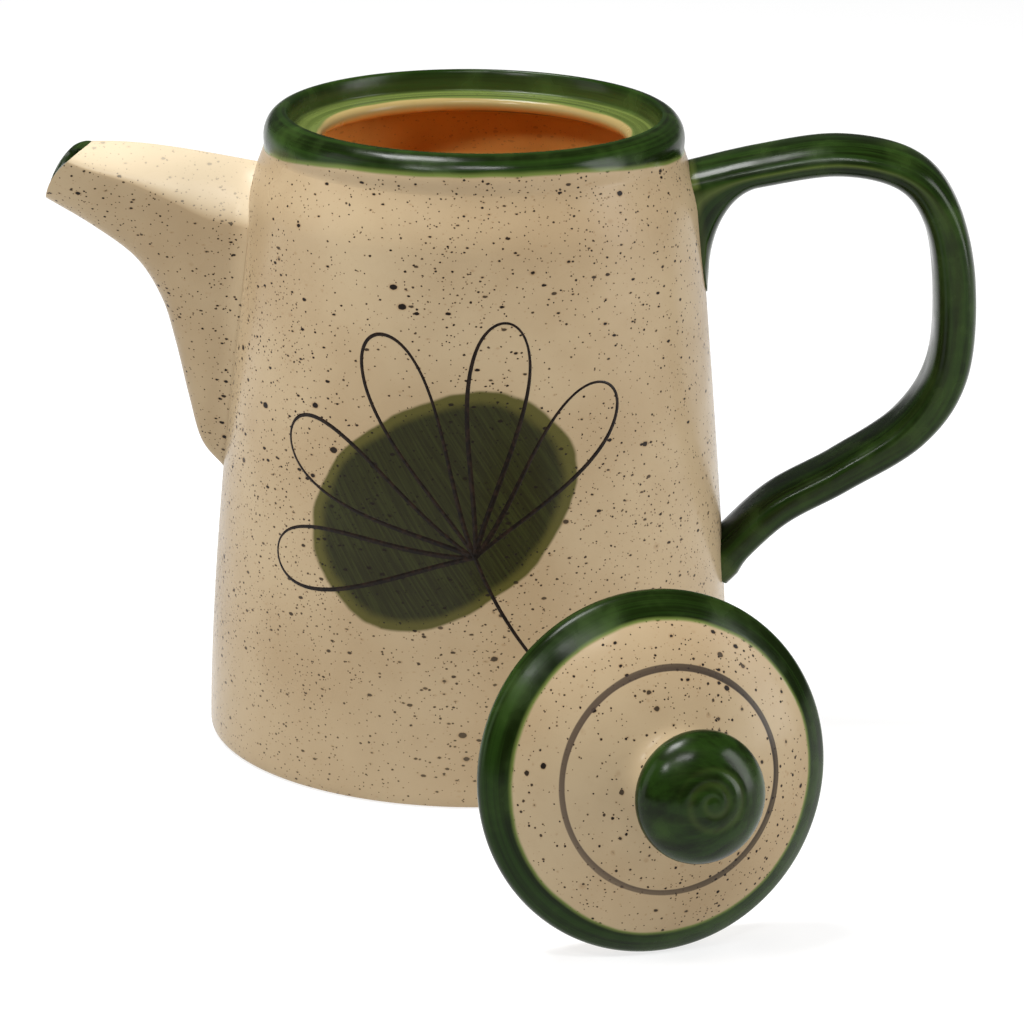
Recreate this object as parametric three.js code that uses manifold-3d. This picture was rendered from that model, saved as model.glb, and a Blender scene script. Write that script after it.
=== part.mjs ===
// A glazed ceramic teapot with its lid off. The pot tapers from a flat base to a rolled rim, with a beaked
// spout on -X and a strap handle on +X. The lid stands in front of it on the edge of its disc, leaning back.
// Millimetres, +Z up, origin at the centre of the pot's base.
import * as THREE from "three";
import { mergeVertices } from "three/addons/utils/BufferGeometryUtils.js";
import Module from "manifold-3d";

const wasm = await Module();
wasm.setup();

// ---- Driving dimensions ----
const POT_HEIGHT = 140; // base to the crest of the rolled rim
const BASE_RADIUS = 58;
const BASE_EDGE = 1.2; // rounding of the base's edge
const WALL = 4.5;
const FLOOR = 5.5;
const CAVITY_CORNER = 10; // inside radius between floor and wall
const MOUTH_RADIUS = 33.3; // the opening that the lid's flange enters
const LEDGE_WIDTH = 6.7; // from the mouth out to the foot of the roll
const LEDGE_DROP = 4.8; // from the crest down to the ledge that the lid's disc rests on
const LEDGE_THICKNESS = 3.4;
const ROLL_INNER_WIDTH = 1.2; // from the foot of the roll out to its crest
const ROLL_OUTER_WIDTH = 4.6; // from the crest out to the widest part of the roll
const ROLL_OUTER_DROP = 5.6; // from the crest down to the widest part of the roll
const SHOULDER_WIDTH = 3.2; // how far the shoulder stands out beyond the roll
const SHOULDER_DROP = 15; // from the crest down to the shoulder
const JOINT_GAP = 0.3; // between pieces that the glaze joins

const SPOUT_REACH = 38.4; // from the wall below the spout to the tip of its beak
const SPOUT_TIP_DROP = 20.7; // from the pot's crest down to the tip of the beak
const SPOUT_ROOT_Z = 58.5; // underside of the spout where it leaves the wall
const SPOUT_MOUTH_RISE = 12.6; // height of the inclined mouth
const SPOUT_MOUTH_RUN = 10.1; // how far the mouth's upper end lies behind the tip
const SPOUT_RIDGE_DROP = 12; // from the crest down to the ridge where it leaves the wall
const SPOUT_MOUTH_BULGE = 2.2; // how far the mouth's edge bows out of a plane
const SPOUT_ROOT_HALF_WIDTH = 9.8;
const SPOUT_MOUTH_HALF_WIDTH = 7.8;
const SPOUT_WALL = 3;
const STRAINER_HOLE_RADIUS = 2;
const STRAINER_PITCH = 6.5;
const STRAINER_DROP = 13.7; // from the root of the spout's ridge down to the top row of holes

const HANDLE_REACH = 54; // from the wall to the outermost part of the strap's centre line
const HANDLE_TOP_DROP = 8.7; // from the crest down to the highest part of the centre line
const HANDLE_ROOT_Z = 39; // centre line where the strap comes back to the wall
const HANDLE_WIDTH = 18;
const HANDLE_BAR_THICKNESS = 7; // the flat bar at the top
const HANDLE_GRIP_THICKNESS = 9.2; // the upright grip
const HANDLE_TAIL_THICKNESS = 7.8; // where it comes back to the wall
const HANDLE_WEB_DROP = 16.5; // how far the fillet under the bar's root runs down the wall
const HANDLE_WEB_REACH = 14; // how far it runs out along the bar

const LID_CLEARANCE = 0.7; // between the flange and the mouth
const LID_OVERLAP = 3.2; // how far the disc reaches over the ledge
const LID_EDGE = 3; // radius of the disc's rounded edge
const LID_DISC_THICKNESS = 4;
const FLANGE_LENGTH = 6;
const FLANGE_WALL = 3.5;
const FLANGE_EDGE = 0.8;
const DOME_RISE = 13; // from the disc's widest plane up to the foot of the neck
const NECK_TOP = 19.6;
const NECK_RADIUS = 7.6;
const NECK_FLARE = 4.5; // how much wider the neck is at its foot
const KNOB_RADIUS = 13.2;
const KNOB_HALF_HEIGHT = 7.4;
const LID_ASIDE = 37.6; // the standing lid's centre, from the pot's middle towards the handle
const LID_STAND_OFF = 71.5; // and from the pot's base towards the front
const LID_LEAN = THREE.MathUtils.degToRad(8.5); // how far it leans back
const LID_TURN = THREE.MathUtils.degToRad(19.6); // the lid's face turns from -Y towards +X

// ---- Sizes that follow ----
const LEDGE_RADIUS = MOUTH_RADIUS + LEDGE_WIDTH;
const CREST_RADIUS = LEDGE_RADIUS + ROLL_INNER_WIDTH;
const ROLL_RADIUS = CREST_RADIUS + ROLL_OUTER_WIDTH;
const SHOULDER_RADIUS = ROLL_RADIUS + SHOULDER_WIDTH;
const SHOULDER_Z = POT_HEIGHT - SHOULDER_DROP;
const LEDGE_Z = POT_HEIGHT - LEDGE_DROP;
const SEAM_Z = LEDGE_Z - LEDGE_THICKNESS; // the collar's underside, on the wall's top edge
const MOUTH_LIP = LEDGE_THICKNESS / 2;
const RIDGE_ROOT_Z = POT_HEIGHT - SPOUT_RIDGE_DROP;
const FLANGE_RADIUS = MOUTH_RADIUS - LID_CLEARANCE;
const LID_RADIUS = MOUTH_RADIUS + LID_OVERLAP;
const KNOB_SINK = KNOB_HALF_HEIGHT * Math.sqrt(1 - (NECK_RADIUS / KNOB_RADIUS) ** 2); // from flat to centre
const KNOB_CENTRE = NECK_TOP + JOINT_GAP + KNOB_SINK;
const ROUND = 48; // sides of the turned pieces
const BEYOND = 20; // how far cutting shapes run past what they cut

const v2 = (x, y) => new THREE.Vector2(x, y);

// ---- Helpers ----
function solid(geometry) {
  const bare = geometry.clone();
  bare.deleteAttribute("normal");
  bare.deleteAttribute("uv");
  const merged = mergeVertices(bare, 1e-4);
  const corners = merged.index.array;
  const triVerts = [];
  for (let i = 0; i < corners.length; i += 3) {
    const [a, b, c] = corners.subarray(i, i + 3);
    if (a !== b && b !== c && c !== a) triVerts.push(a, b, c);
  }
  return new wasm.Manifold(
    new wasm.Mesh({
      numProp: 3,
      vertProperties: merged.attributes.position.array,
      triVerts: Uint32Array.from(triVerts),
    }),
  );
}

function geometryOf(body) {
  const { vertProperties, triVerts } = body.getMesh();
  const geometry = new THREE.BufferGeometry();
  geometry.setAttribute("position", new THREE.BufferAttribute(vertProperties, 3));
  geometry.setIndex(new THREE.BufferAttribute(triVerts, 1));
  geometry.computeVertexNormals();
  return geometry;
}

// Turns a profile of (radius, height) points about Z. It runs up the outside and comes back down the inside.
function turned(profile) {
  return solid(new THREE.LatheGeometry(profile, ROUND).rotateX(Math.PI / 2));
}

function closed(profile) {
  return [...profile, profile[0].clone()];
}

// Points of an ellipse's arc, with angles in degrees from +r towards +z.
function arc(r, z, across, up, from, to, steps) {
  return Array.from({ length: steps + 1 }, (_, i) => {
    const angle = THREE.MathUtils.degToRad(from + ((to - from) * i) / steps);
    return v2(r + across * Math.cos(angle), z + up * Math.sin(angle));
  });
}

// A closed skin over rings that all have the same number of points.
function skinned(rings) {
  const count = rings[0].length;
  const points = rings.flat();
  const index = [];
  for (let i = 0; i + 1 < rings.length; i++) {
    for (let j = 0; j < count; j++) {
      const a = i * count + j;
      const b = i * count + ((j + 1) % count);
      index.push(a, b, b + count, a, b + count, a + count);
    }
  }
  const last = (rings.length - 1) * count;
  for (let j = 1; j + 1 < count; j++) {
    index.push(0, j + 1, j);
    index.push(last, last + j, last + j + 1);
  }
  const geometry = new THREE.BufferGeometry().setFromPoints(points);
  geometry.setIndex(index);
  return solid(geometry);
}

function piece(name, body, color, roughness) {
  const material = new THREE.MeshStandardMaterial({ color, roughness, metalness: 0 });
  const mesh = new THREE.Mesh(geometryOf(body), material);
  mesh.name = name;
  return mesh;
}

// ---- The pot's outline ----
// Upright above the base, leaning in to the shoulder, then rounding in to the roll.
const TAPER = BASE_RADIUS - SHOULDER_RADIUS;
const wallLine = new THREE.CubicBezierCurve(
  v2(BASE_RADIUS, 0),
  v2(BASE_RADIUS, 0.29 * SHOULDER_Z),
  v2(SHOULDER_RADIUS + 0.35 * TAPER, 0.7 * SHOULDER_Z),
  v2(SHOULDER_RADIUS, SHOULDER_Z),
);
const shoulderLine = new THREE.QuadraticBezierCurve(
  v2(SHOULDER_RADIUS, SHOULDER_Z),
  v2(SHOULDER_RADIUS - 0.5, SHOULDER_Z + 0.6 * (SEAM_Z - SHOULDER_Z)),
  v2(ROLL_RADIUS, SEAM_Z),
);
const outline = [...wallLine.getPoints(40), ...shoulderLine.getPoints(8).slice(1)];

function wallRadius(z) {
  const next = outline.findIndex((p) => p.y >= z);
  if (next < 0) return outline.at(-1).x;
  if (next === 0) return outline[0].x;
  const [low, high] = [outline[next - 1], outline[next]];
  return THREE.MathUtils.mapLinear(z, low.y, high.y, low.x, high.x);
}

function wallProfile(bottom, top, steps, inset) {
  return Array.from({ length: steps + 1 }, (_, i) => {
    const z = THREE.MathUtils.lerp(bottom, top, i / steps);
    return v2(wallRadius(z) - inset, z);
  });
}

// The outside of the wall and roll, grown by the joint's gap: it trims what is joined to the wall.
function trimmer() {
  const top = POT_HEIGHT + BEYOND;
  const side = wallProfile(-BEYOND, SEAM_Z, 26, -JOINT_GAP);
  return turned([v2(0, -BEYOND), ...side, v2(ROLL_RADIUS + JOINT_GAP, top), v2(0, top)]);
}

// ---- The pot's pieces ----
function strainerHoles() {
  const rows = [2, 2, 2, 1];
  const holes = rows.flatMap((count, row) => {
    const z = RIDGE_ROOT_Z - STRAINER_DROP - row * STRAINER_PITCH;
    return Array.from({ length: count }, (_, i) => {
      const y = (i - (count - 1) / 2) * STRAINER_PITCH;
      const hole = new THREE.CylinderGeometry(STRAINER_HOLE_RADIUS, STRAINER_HOLE_RADIUS, 4 * WALL, 12);
      return solid(hole.rotateZ(Math.PI / 2).translate(-wallRadius(z), y, z));
    });
  });
  return holes.reduce((all, hole) => all.add(hole));
}

function potBody() {
  const top = SEAM_Z - JOINT_GAP;
  const outside = wallProfile(BASE_EDGE, top, 12, 0);
  const foot = arc(wallRadius(BASE_EDGE) - BASE_EDGE, BASE_EDGE, BASE_EDGE, BASE_EDGE, -90, -30, 2);
  const inside = wallProfile(FLOOR + CAVITY_CORNER, top, 10, WALL).reverse();
  const low = inside.at(-1);
  const bend = low.x - CAVITY_CORNER;
  const corner = arc(bend, low.y, CAVITY_CORNER, CAVITY_CORNER, 0, -90, 4).slice(1);
  return turned([v2(0, 0), ...foot, ...outside, ...inside, ...corner, v2(0, FLOOR)]).subtract(strainerHoles());
}

// The roll, the ledge inside it and the rounded lip of the mouth.
function rimCollar() {
  const widest = POT_HEIGHT - ROLL_OUTER_DROP;
  const outside = arc(CREST_RADIUS, widest, ROLL_OUTER_WIDTH, ROLL_OUTER_DROP, 0, 90, 7);
  const rollBack = arc(CREST_RADIUS, LEDGE_Z, ROLL_INNER_WIDTH, LEDGE_DROP, 90, 180, 4).slice(1);
  const lip = arc(MOUTH_RADIUS + MOUTH_LIP, LEDGE_Z - MOUTH_LIP, MOUTH_LIP, MOUTH_LIP, 90, 270, 6);
  return turned(closed([v2(ROLL_RADIUS, SEAM_Z), ...outside, ...rollBack, ...lip]));
}

const UPPER_FACET_POWER = 1.48; // 1 rounds a facet of the spout, 2 makes it flat
const LOWER_FACET_POWER = 1.25;
const RIDGE_RISES = [2.6, 4.8]; // how far the ridge's two inner control points lie above its root

// One ring of the spout: a rounded kite between its keel and its ridge, with a soft edge on each side.
function spoutRing({ low, high, halfWidth, edgeShare, bulge }, count) {
  const height = high.clone().sub(low);
  const outward = v2(-height.y, height.x).normalize();
  return Array.from({ length: count }, (_, i) => {
    const angle = (-2 * Math.PI * i) / count;
    const [across, along] = [Math.cos(angle), Math.sin(angle)];
    const power = along > 0 ? UPPER_FACET_POWER : LOWER_FACET_POWER;
    const share = along > 0 ? edgeShare : 1 - edgeShare;
    const level = 1 - edgeShare + Math.sign(along) * share * Math.abs(along) ** power;
    const y = halfWidth * Math.sign(across) * Math.abs(across) ** power;
    const bow = bulge * (1 - (2 * level - 1) ** 2);
    const at = low.clone().addScaledVector(height, level).addScaledVector(outward, bow);
    return new THREE.Vector3(at.x, y, at.y);
  });
}

function spoutLines() {
  const wall = wallRadius(SPOUT_ROOT_Z);
  const tip = v2(-wall - SPOUT_REACH, POT_HEIGHT - SPOUT_TIP_DROP);
  const rise = tip.y - SPOUT_ROOT_Z;
  const keelShares = [
    [0, 0],
    [0.125, 0.1],
    [0.198, 0.271],
    [0.271, 0.474],
    [0.346, 0.633],
    [0.49, 0.781],
    [0.737, 0.9],
    [1, 1],
  ];
  const keelPoints = keelShares.map(([out, up]) => v2(-wall - out * SPOUT_REACH, SPOUT_ROOT_Z + up * rise));
  const keel = new THREE.SplineCurve(keelPoints);
  const root = v2(-wallRadius(RIDGE_ROOT_Z), RIDGE_ROOT_Z);
  const end = v2(tip.x + SPOUT_MOUTH_RUN, tip.y + SPOUT_MOUTH_RISE);
  const ridge = new THREE.CubicBezierCurve(
    root,
    v2(root.x + 0.4 * (end.x - root.x), root.y + RIDGE_RISES[0]),
    v2(root.x + 0.75 * (end.x - root.x), root.y + RIDGE_RISES[1]),
    end,
  );
  return { keel, ridge };
}

function spout() {
  const { keel, ridge } = spoutLines();
  const steps = 18;
  const inward = v2(BEYOND, 0);
  const ringAt = (s, inset) => {
    const low = keel.getPoint(s);
    const high = ridge.getPoint(s);
    const axis = high.clone().sub(low).normalize();
    low.addScaledVector(axis, 1.5 * inset); // the walls meet at a slant at keel and ridge
    high.addScaledVector(axis, -1.25 * inset);
    const halfWidth = THREE.MathUtils.lerp(SPOUT_ROOT_HALF_WIDTH, SPOUT_MOUTH_HALF_WIDTH, s) - inset;
    const edgeShare = THREE.MathUtils.lerp(0.18, 0.32, s);
    const bulge = SPOUT_MOUTH_BULGE * THREE.MathUtils.smoothstep(s, 0.7, 1);
    return { low, high, halfWidth, edgeShare, bulge };
  };
  const skin = (inset, past) => {
    const stations = Array.from({ length: steps + 1 }, (_, i) => ringAt(i / steps, inset));
    const first = stations[0];
    const last = stations.at(-1);
    const mouth = v2(last.low.y - last.high.y, last.high.x - last.low.x).setLength(past + 1);
    const all = [
      { ...first, low: first.low.clone().add(inward), high: first.high.clone().add(inward) },
      ...stations,
      { ...last, low: last.low.clone().add(mouth), high: last.high.clone().add(mouth) },
    ];
    const kept = past > 0 ? all : all.slice(0, -1);
    return skinned(kept.map((ring) => spoutRing(ring, 16)));
  };
  return skin(0, 0).subtract(skin(SPOUT_WALL, BEYOND)).subtract(trimmer());
}

const STRAP_SQUARENESS = 0.6; // 1 gives the strap an elliptical section, less a squarer one

// The handle's centre line, from its upper root over the bar, down the grip and back to the wall.
// Each point is a share of the reach and a share of the height between the lower root and the top.
function handleLine() {
  const top = POT_HEIGHT - HANDLE_TOP_DROP;
  const wall = wallRadius((top + HANDLE_ROOT_Z) / 2);
  const shares = [
    [-0.14, 0.925],
    [0.18, 0.972],
    [0.5, 1],
    [0.77, 0.966],
    [0.915, 0.865],
    [0.98, 0.69],
    [0.965, 0.48],
    [0.82, 0.335],
    [0.54, 0.222],
    [0.27, 0.128],
    [0.02, -0.02],
  ];
  const points = shares.map(([out, up]) => {
    const z = THREE.MathUtils.lerp(HANDLE_ROOT_Z, top, up);
    return new THREE.Vector3(wall + out * HANDLE_REACH, 0, z);
  });
  return new THREE.CatmullRomCurve3(points);
}

function handle() {
  const line = handleLine();
  const rootZ = line.getPoint(0).z;
  const slant = (wallRadius(rootZ - HANDLE_WEB_DROP) - wallRadius(rootZ)) / HANDLE_WEB_DROP;
  const down = new THREE.Vector3(slant, 0, -1); // down the wall beside the upper root
  const steps = 42;
  const sides = 16;
  const rings = Array.from({ length: steps + 1 }, (_, i) => {
    const s = (i / steps) ** 1.4; // closer together at the web
    const centre = line.getPointAt(s);
    const along = line.getTangentAt(s);
    const out = new THREE.Vector3(-along.z, 0, along.x); // away from the finger gap
    const grip = THREE.MathUtils.smoothstep(s, 0.24, 0.48);
    const tail = THREE.MathUtils.smoothstep(s, 0.6, 0.8);
    const upper = THREE.MathUtils.lerp(HANDLE_BAR_THICKNESS, HANDLE_GRIP_THICKNESS, grip);
    const thickness = THREE.MathUtils.lerp(upper, HANDLE_TAIL_THICKNESS, tail);
    const clear = THREE.MathUtils.clamp((centre.x - wallRadius(centre.z)) / HANDLE_WEB_REACH, 0, 1);
    const web = s < 0.5 ? HANDLE_WEB_DROP * (1 - Math.sqrt(1 - (1 - clear) ** 2)) : 0;
    return Array.from({ length: sides }, (_, j) => {
      const angle = (2 * Math.PI * (j + 0.5)) / sides;
      const across = Math.sign(Math.cos(angle)) * Math.abs(Math.cos(angle)) ** STRAP_SQUARENESS;
      const up = Math.sign(Math.sin(angle)) * Math.abs(Math.sin(angle)) ** STRAP_SQUARENESS;
      const point = centre.clone().addScaledVector(out, (up * thickness) / 2);
      point.addScaledVector(down, web * Math.max(0, -up));
      point.y = (across * HANDLE_WIDTH) / 2;
      return point;
    });
  });
  return skinned(rings).subtract(trimmer());
}

// ---- The lid's pieces, about the lid's own axis, with z = 0 in the disc's widest plane ----
function lidPlate() {
  const underside = -LID_EDGE;
  const edge = arc(LID_RADIUS - LID_EDGE, 0, LID_EDGE, LID_EDGE, -90, 40, 5);
  const rim = edge.at(-1);
  const neckFoot = v2(NECK_RADIUS + NECK_FLARE, DOME_RISE);
  const dome = new THREE.CubicBezierCurve(
    rim,
    v2(rim.x - DOME_RISE / 2, rim.y + DOME_RISE / 2),
    v2(neckFoot.x + NECK_FLARE, neckFoot.y - NECK_FLARE / 3),
    neckFoot,
  );
  const neck = new THREE.QuadraticBezierCurve(
    neckFoot,
    v2(NECK_RADIUS, neckFoot.y + NECK_FLARE / 3),
    v2(NECK_RADIUS, NECK_TOP),
  );
  const hollow = neckFoot.y - LID_DISC_THICKNESS;
  const inner = FLANGE_RADIUS - FLANGE_WALL;
  const ceiling = new THREE.CubicBezierCurve(
    v2(0, hollow),
    v2(inner / 2, hollow),
    v2(0.75 * inner, THREE.MathUtils.lerp(underside, hollow, 0.6)),
    v2(inner, underside),
  );
  const above = [...dome.getPoints(6).slice(1), ...neck.getPoints(4).slice(1)];
  return turned([...ceiling.getPoints(6), ...edge, ...above, v2(0, NECK_TOP)]);
}

function lidFlange() {
  const top = -LID_EDGE - JOINT_GAP;
  const bottom = -LID_EDGE - FLANGE_LENGTH;
  const inner = FLANGE_RADIUS - FLANGE_WALL;
  const tip = arc(FLANGE_RADIUS - FLANGE_EDGE, bottom + FLANGE_EDGE, FLANGE_EDGE, FLANGE_EDGE, -90, 0, 3);
  return turned(closed([v2(inner, bottom), ...tip, v2(FLANGE_RADIUS, top), v2(inner, top)]));
}

function lidKnob() {
  const flat = NECK_TOP + JOINT_GAP;
  const start = THREE.MathUtils.radToDeg(Math.asin((flat - KNOB_CENTRE) / KNOB_HALF_HEIGHT));
  return turned([v2(0, flat), ...arc(0, KNOB_CENTRE, KNOB_RADIUS, KNOB_HALF_HEIGHT, start, 90, 9)]);
}

// ---- The object ----
const CREAM = 0xdccaa6;
const GREEN = 0x24491f;

const pot = new THREE.Group();
pot.add(piece("pot_body", potBody(), CREAM, 0.25));
pot.add(piece("rim_collar", rimCollar(), GREEN, 0.2));
pot.add(piece("spout", spout(), CREAM, 0.25));
pot.add(piece("handle", handle(), GREEN, 0.2));

const lid = new THREE.Group();
lid.add(piece("lid_plate", lidPlate(), CREAM, 0.25));
lid.add(piece("lid_flange", lidFlange(), CREAM, 0.3));
lid.add(piece("lid_knob", lidKnob(), GREEN, 0.2));

lid.rotation.x = Math.PI / 2 - LID_LEAN;
const standing = new THREE.Group();
standing.add(lid);
standing.rotation.z = LID_TURN;
const lidHeight = (LID_RADIUS - LID_EDGE) * Math.cos(LID_LEAN) + LID_EDGE;
standing.position.set(LID_ASIDE, -BASE_RADIUS - LID_STAND_OFF, lidHeight);

const teapot = new THREE.Group();
teapot.add(pot, standing);
export default teapot;
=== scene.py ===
# A glazed ceramic teapot with its lid standing beside it. Sizes are in millimetres and turned into metres
# where a mesh is made; distances inside a glaze are in metres. The pot's axis is Z, its spout points to -X
# and its handle to +X.
import math
import bmesh
import bpy
from mathutils import Matrix, Vector, noise


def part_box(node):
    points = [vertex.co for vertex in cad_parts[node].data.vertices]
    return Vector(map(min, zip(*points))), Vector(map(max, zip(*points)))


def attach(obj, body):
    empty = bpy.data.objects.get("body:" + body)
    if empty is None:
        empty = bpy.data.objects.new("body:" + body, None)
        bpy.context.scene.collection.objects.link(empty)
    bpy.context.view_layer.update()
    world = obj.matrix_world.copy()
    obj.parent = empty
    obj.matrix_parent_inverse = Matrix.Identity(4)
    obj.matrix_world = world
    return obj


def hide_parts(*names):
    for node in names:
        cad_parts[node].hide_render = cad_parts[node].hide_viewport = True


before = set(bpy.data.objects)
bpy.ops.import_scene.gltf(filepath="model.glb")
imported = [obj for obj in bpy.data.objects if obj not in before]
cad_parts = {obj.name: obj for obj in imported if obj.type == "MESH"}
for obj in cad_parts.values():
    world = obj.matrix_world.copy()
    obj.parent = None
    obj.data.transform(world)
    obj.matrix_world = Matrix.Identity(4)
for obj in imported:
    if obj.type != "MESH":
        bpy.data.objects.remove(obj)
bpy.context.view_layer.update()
MM = 0.001
CREASE = 38  # an edge that bends by more degrees than this is drawn crisp


def cad(node):
    """A CAD node's lowest and highest corner, in millimetres."""
    low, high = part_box(node)
    return low / MM, high / MM


# ---- Sizes from the frame ----
COLLAR_LOW, COLLAR_HIGH = cad("rim_collar")
POT_HEIGHT = COLLAR_HIGH.z
SEAM_Z = COLLAR_LOW.z
ROLL_RADIUS = COLLAR_HIGH.x
BASE_RADIUS = cad("pot_body")[1].x

# ---- Sizes of the pot that the frame's boxes don't give ----
BASE_EDGE = 1.2
WALL = 4.5
FLOOR = 5.5
CAVITY_CORNER = 10
MOUTH_RADIUS = 33.3
LEDGE_Z = POT_HEIGHT - 4.8
LEDGE_RADIUS = 40
LEDGE_COVE = 1.2
CREST_RADIUS = 41.2
ROLL_DROP = 5.6
MOUTH_LIP = (LEDGE_Z - SEAM_Z) / 2
SHOULDER_RADIUS = 49
SHOULDER_Z = POT_HEIGHT - 15
TAPER = BASE_RADIUS - SHOULDER_RADIUS
TUCK = 2.6  # how far the spout and handle run into the wall, out of sight

SPOUT_ROOT_Z = 58.5
SPOUT_TIP_Z = POT_HEIGHT - 20.7
SPOUT_REACH = 38.4
SPOUT_MOUTH_RUN = 10.1
SPOUT_MOUTH_RISE = 12.6
SPOUT_MOUTH_BULGE = 2.2
SPOUT_WALL = 3
SPOUT_HALF_WIDTHS = (9.8, 7.8)
SPOUT_EDGE_SHARES = (0.18, 0.32)
RIDGE_ROOT_Z = POT_HEIGHT - 12
RIDGE_RISES = (2.6, 4.8)
UPPER_FACET_POWER = 1.48
LOWER_FACET_POWER = 1.25
STRAINER_ROWS = (2, 2, 2, 1)
STRAINER_RADIUS = 2
STRAINER_PITCH = 6.5
STRAINER_DROP = 13.7

HANDLE_TOP_Z = POT_HEIGHT - 8.7
HANDLE_ROOT_Z = 39
HANDLE_REACH = 54
HANDLE_HALF_WIDTH = 8.946
HANDLE_THICKNESSES = (7, 9.2, 7.8)  # bar, grip and tail
HANDLE_WEB_DROP = 16.5
HANDLE_WEB_REACH = 14
STRAP_SQUARENESS = 0.6
# A quarter of the bar's section from its side to its middle, above and below: it has a crisp edge.
BAR_ABOVE = ((1, -0.2), (0.94, 0.45), (0.66, 1.18), (0, 1.18))
BAR_BELOW = ((1, -0.2), (0.93, -0.95), (0.68, -1.25), (0, -1.25))

LID_RADIUS = 36.5
LID_EDGE = 3
FLANGE_RADIUS = 32.6
FLANGE_WALL = 3.5
FLANGE_LENGTH = 6
FLANGE_EDGE = 0.8
DOME_RISE = 13
DISC_THICKNESS = 4
NECK_TOP = 19.6
NECK_RADIUS = 7.6
NECK_FLARE = 4.5
KNOB_RADIUS = 13.2
KNOB_HALF_HEIGHT = 7.4
LID_LEAN = math.radians(8.5)
LID_TURN = math.radians(19.6)
LID_CENTRE = Vector((37.6, -BASE_RADIUS - 71.5, (LID_RADIUS - LID_EDGE) * math.cos(LID_LEAN) + LID_EDGE))


# ---- Curves, as lists of 2D points ----
def lerp(a, b, t):
    return a + (b - a) * t


def smoothstep(x, low, high):
    t = min(1, max(0, (x - low) / (high - low)))
    return t * t * (3 - 2 * t)


def curve_point(points, t):
    """A place on the Bezier curve, of any degree, that these points steer."""
    row = [Vector(p) for p in points]
    while len(row) > 1:
        row = [a.lerp(b, t) for a, b in zip(row, row[1:])]
    return row[0]


def bezier(points, steps):
    return [curve_point(points, i / steps) for i in range(steps + 1)]


def arc(r, z, across, up, start, end, steps):
    angles = [math.radians(lerp(start, end, i / steps)) for i in range(steps + 1)]
    return [Vector((r + across * math.cos(a), z + up * math.sin(a))) for a in angles]


def spline(points, t):
    """A Catmull-Rom spline through the points, with t from 0 to 1."""
    place = t * (len(points) - 1)
    i = min(int(place), len(points) - 2)
    f = place - i
    p1, p2 = points[i], points[i + 1]
    p0 = points[i - 1] if i > 0 else 2 * p1 - p2
    p3 = points[i + 2] if i + 2 < len(points) else 2 * p2 - p1
    return 0.5 * (2 * p1 + (p2 - p0) * f + (2 * p0 - 5 * p1 + 4 * p2 - p3) * f * f
                  + (3 * p1 - p0 - 3 * p2 + p3) * f * f * f)


def evenly(point_at, steps, fine=400):
    """Points at equal distances along a curve."""
    dense = [point_at(i / fine) for i in range(fine + 1)]
    lengths = [0]
    for a, b in zip(dense, dense[1:]):
        lengths.append(lengths[-1] + (b - a).length)
    made, i = [], 0
    for k in range(steps + 1):
        goal = lengths[-1] * k / steps
        while i < fine - 1 and lengths[i + 1] < goal:
            i += 1
        share = (goal - lengths[i]) / (lengths[i + 1] - lengths[i])
        made.append(dense[i].lerp(dense[i + 1], share))
    return made


WALL_LINE = bezier([(BASE_RADIUS, 0), (BASE_RADIUS, 0.29 * SHOULDER_Z),
                    (SHOULDER_RADIUS + 0.35 * TAPER, 0.7 * SHOULDER_Z), (SHOULDER_RADIUS, SHOULDER_Z)], 80)
OUTLINE = [p for p in WALL_LINE if p.y < SHOULDER_Z - 5]
OUTLINE += bezier([OUTLINE[-1], (SHOULDER_RADIUS + 0.15, SHOULDER_Z - 1), (ROLL_RADIUS + 0.9, SEAM_Z - 3.2),
                   (ROLL_RADIUS, SEAM_Z)], 24)[1:]


def wall_radius(z):
    for low, high in zip(OUTLINE, OUTLINE[1:]):
        if low.y <= z <= high.y:
            return lerp(low.x, high.x, (z - low.y) / (high.y - low.y))
    return OUTLINE[0].x if z < 0 else OUTLINE[-1].x


def wall_profile(low, high, steps, inset):
    heights = [lerp(low, high, i / steps) for i in range(steps + 1)]
    return [Vector((wall_radius(z) - inset, z)) for z in heights]


# ---- Meshes ----
def mesh_piece(name, points, faces, materials, crease=CREASE):
    """A smooth-shaded object from points in millimetres; edges sharper than crease degrees stay crisp."""
    mesh = bpy.data.meshes.new(name)
    mesh.from_pydata([Vector(p) * MM for p in points], [], faces)
    piece = bpy.data.objects.new(name, mesh)
    bpy.context.scene.collection.objects.link(piece)
    for material in materials:
        mesh.materials.append(material)
    edit = bmesh.new()
    edit.from_mesh(mesh)
    bmesh.ops.recalc_face_normals(edit, faces=edit.faces)
    crisp(edit, crease)
    edit.to_mesh(mesh)
    edit.free()
    return piece


def crisp(edit, crease):
    for face in edit.faces:
        face.smooth = True
    for edge in edit.edges:
        edge.smooth = edge.calc_face_angle(0) < math.radians(crease)


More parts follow.
